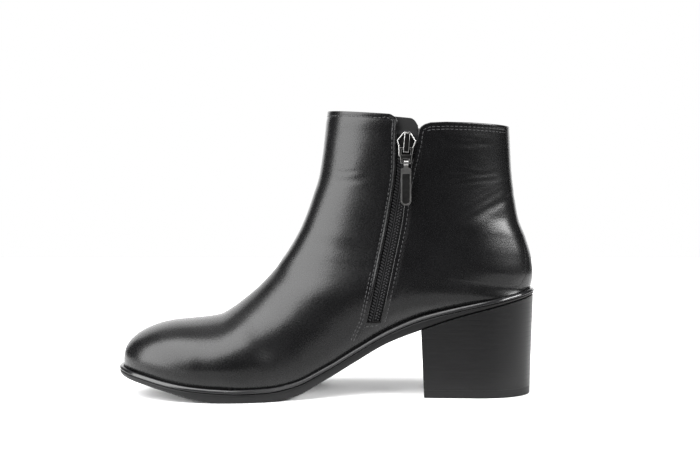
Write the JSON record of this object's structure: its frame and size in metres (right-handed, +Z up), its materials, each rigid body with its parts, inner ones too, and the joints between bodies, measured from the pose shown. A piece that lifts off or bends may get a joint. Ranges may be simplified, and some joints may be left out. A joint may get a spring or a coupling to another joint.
{
  "type": "ankle boot",
  "caption": "Right ankle boot in smooth leather with a rounded toe, block heel and a zip with a hanging pull on the inner side.",
  "frame": {"origin": "centre of the bounding box on the floor", "axes": "+X from the toe to the heel, -Y to the inner side of the foot with the zip, +Z up"},
  "size_m": [0.252, 0.0864, 0.1705],
  "materials": {
    "upper_leather": "black full-grain leather, semi-gloss",
    "insole_lining": "dark lining leather, matte",
    "welt_edge": "polished black edge",
    "sole_rubber": "matte black rubber",
    "heel_stack": "satin black stacked heel with faint layer lines",
    "zip_cloth": "black woven tape",
    "zip_coil": "black coil",
    "guard_leather": "black leather flap, matte",
    "gunmetal": "dark nickel, worn bright on edges"
  },
  "bodies": {
    "boot": {"upper": "upper_leather", "insole": "insole_lining", "welt": "welt_edge", "outsole": "sole_rubber", "heel_block": "heel_stack", "heel_top_lift": "sole_rubber", "zip_tape": "zip_cloth", "zip_chain": "zip_coil", "zip_guard": "guard_leather", "zip_slider": "gunmetal"},
    "pull_link": {"zip_pull_link": "gunmetal"},
    "pull_tab": {"zip_pull_tab": "gunmetal"}
  },
  "joints": [
    {"name": "link_swing", "type": "hinge", "parent": "boot", "child": "pull_link", "pos_m": [0.04619, -0.03375, 0.1474], "axis": [-1, 0, 0], "range_deg": [0, 130]},
    {"name": "tab_swing", "type": "hinge", "parent": "pull_link", "child": "pull_tab", "pos_m": [0.04619, -0.03375, 0.1389], "axis": [-1, 0, 0], "range_deg": [0, 60]}
  ]
}
